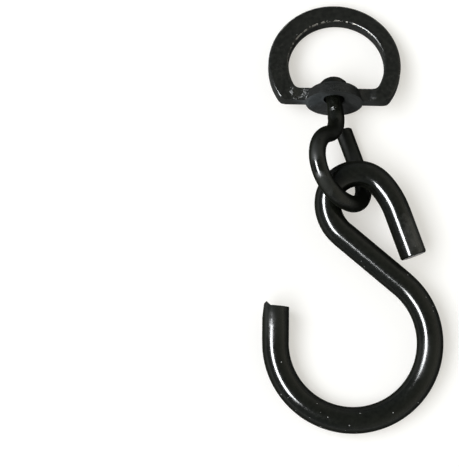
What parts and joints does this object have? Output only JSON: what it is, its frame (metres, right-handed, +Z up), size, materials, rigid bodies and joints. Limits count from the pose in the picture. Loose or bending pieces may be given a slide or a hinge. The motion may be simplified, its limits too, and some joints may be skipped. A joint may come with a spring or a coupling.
{
  "type": "swivel s hook",
  "caption": "Black metal S hook of round wire, linked to a wire eye that swivels in a flat D-shaped ring.",
  "frame": {"origin": "on the table, under the middle of the whole length, in line with the middle of the S hook's open bend", "axes": "+Y along the hook from its open bend to the ring, +Z up from the table the hook lies on, +X to the side the open bend closes towards"},
  "size_m": [0.0336, 0.082, 0.0147],
  "materials": {
    "ring_metal": "gloss black coat over a zinc casting",
    "eye_metal": "gloss black coat over steel wire",
    "hook_metal": "gloss black coat over steel wire, scuffed along the outside"
  },
  "bodies": {
    "ring": {"swivel_ring": "ring_metal"},
    "eye": {"eye_hook": "eye_metal"},
    "hook": {"s_hook": "hook_metal"}
  },
  "joints": [
    {"name": "swivel", "type": "hinge", "parent": "ring", "child": "eye", "pos_m": [-0.00353, 0.02113, 0.00529], "axis": [-0.0854, 0.9762, -0.1994], "continuous": true},
    {"name": "link", "type": "hinge", "parent": "eye", "child": "hook", "pos_m": [0.00076, 0.00169, 0.0063], "axis": [0, -0.0945, 0.9955], "range_deg": [-90, 120]}
  ]
}
